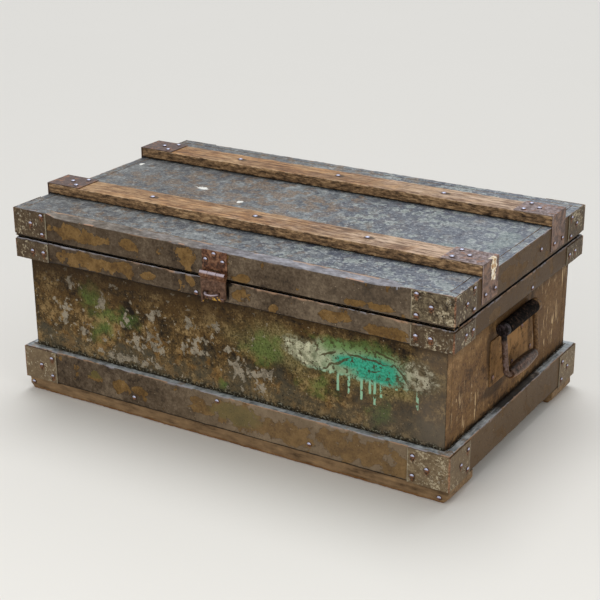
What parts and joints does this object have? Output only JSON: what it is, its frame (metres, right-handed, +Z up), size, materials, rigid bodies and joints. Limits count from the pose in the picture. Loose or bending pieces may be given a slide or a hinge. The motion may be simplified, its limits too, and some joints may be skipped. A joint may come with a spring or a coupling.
{
  "type": "wooden travelling chest",
  "caption": "Rectangular wooden chest with a hinged lid, battens, skids, iron corner plates, front hasp and a drop handle on each end.",
  "frame": {"origin": "on the floor under the middle of the chest", "axes": "+X along the chest to its right end, -Y out of the front with the hasp, +Z up"},
  "size_m": [0.9336, 0.5806, 0.3916],
  "materials": {
    "carcass_paint": "worn dark olive-brown paint",
    "inside_wood": "bare aged pine",
    "band_paint": "worn grey-brown paint",
    "lid_top_paint": "crackled blue-grey paint",
    "batten_wood": "bare worn brown wood",
    "skid_wood": "rubbed dark brown wood",
    "corner_iron": "sheet iron with scratched khaki paint",
    "fitting_iron": "rusted iron, purple-brown",
    "handle_iron": "black iron, oiled",
    "grip_iron": "black iron rubbed brown",
    "nail_steel": "dull domed nail heads"
  },
  "bodies": {
    "chest": {"front_board": "carcass_paint", "back_board": "carcass_paint", "left_end_board": "carcass_paint", "right_end_board": "carcass_paint", "bottom_board": "inside_wood", "rim_front": "band_paint", "rim_back": "band_paint", "rim_left": "band_paint", "rim_right": "band_paint", "plinth_front": "band_paint", "plinth_back": "band_paint", "plinth_left": "band_paint", "plinth_right": "band_paint", "skid_front": "skid_wood", "skid_back": "skid_wood", "rim_corner_plate_front_left": "corner_iron", "rim_corner_plate_front_right": "corner_iron", "rim_corner_plate_back_left": "corner_iron", "rim_corner_plate_back_right": "corner_iron", "plinth_corner_plate_front_left": "corner_iron", "plinth_corner_plate_front_right": "corner_iron", "plinth_corner_plate_back_left": "corner_iron", "plinth_corner_plate_back_right": "corner_iron", "handle_plate_left": "handle_iron", "handle_plate_right": "handle_iron", "hasp_staple": "fitting_iron", "hinge_body_leaf_left": "fitting_iron", "hinge_body_leaf_right": "fitting_iron", "hinge_pin_left": "nail_steel", "hinge_pin_right": "nail_steel"},
    "lid": {"lid_rail_front": "band_paint", "lid_rail_back": "band_paint", "lid_rail_left": "band_paint", "lid_rail_right": "band_paint", "lid_panel": "lid_top_paint", "lid_corner_plate_front_left": "corner_iron", "lid_corner_plate_front_right": "corner_iron", "lid_corner_plate_back_left": "corner_iron", "lid_corner_plate_back_right": "corner_iron", "lid_batten_front": "batten_wood", "lid_batten_back": "batten_wood", "batten_strap_front_left": "fitting_iron", "batten_strap_front_right": "fitting_iron", "batten_strap_back_left": "fitting_iron", "batten_strap_back_right": "fitting_iron", "batten_nail_front_1": "nail_steel", "batten_nail_front_2": "nail_steel", "batten_nail_front_3": "nail_steel", "batten_nail_back_1": "nail_steel", "batten_nail_back_2": "nail_steel", "batten_nail_back_3": "nail_steel", "hasp_lid_leaf": "fitting_iron", "hasp_pin": "fitting_iron", "hinge_lid_leaf_left": "fitting_iron", "hinge_lid_leaf_right": "fitting_iron"},
    "hasp": {"hasp_strap": "fitting_iron"},
    "handle_left": {"handle_bail_left": "handle_iron", "handle_grip_left": "grip_iron"},
    "handle_right": {"handle_bail_right": "handle_iron", "handle_grip_right": "grip_iron"}
  },
  "joints": [
    {"name": "lid_hinge", "type": "hinge", "parent": "chest", "child": "lid", "pos_m": [0, 0.2784, 0.30975], "axis": [-1, 0, 0], "range_deg": [0, 100]},
    {"name": "hasp_hinge", "type": "hinge", "parent": "lid", "child": "hasp", "pos_m": [0, -0.2789, 0.32005], "axis": [-1, 0, 0], "range_deg": [0, 170]},
    {"name": "handle_left_swing", "type": "hinge", "parent": "chest", "child": "handle_left", "pos_m": [-0.4457, 0, 0.238], "axis": [0, 1, 0], "range_deg": [-2.5, 150]},
    {"name": "handle_right_swing", "type": "hinge", "parent": "chest", "child": "handle_right", "pos_m": [0.4457, 0, 0.238], "axis": [0, -1, 0], "range_deg": [-2.5, 150]}
  ]
}
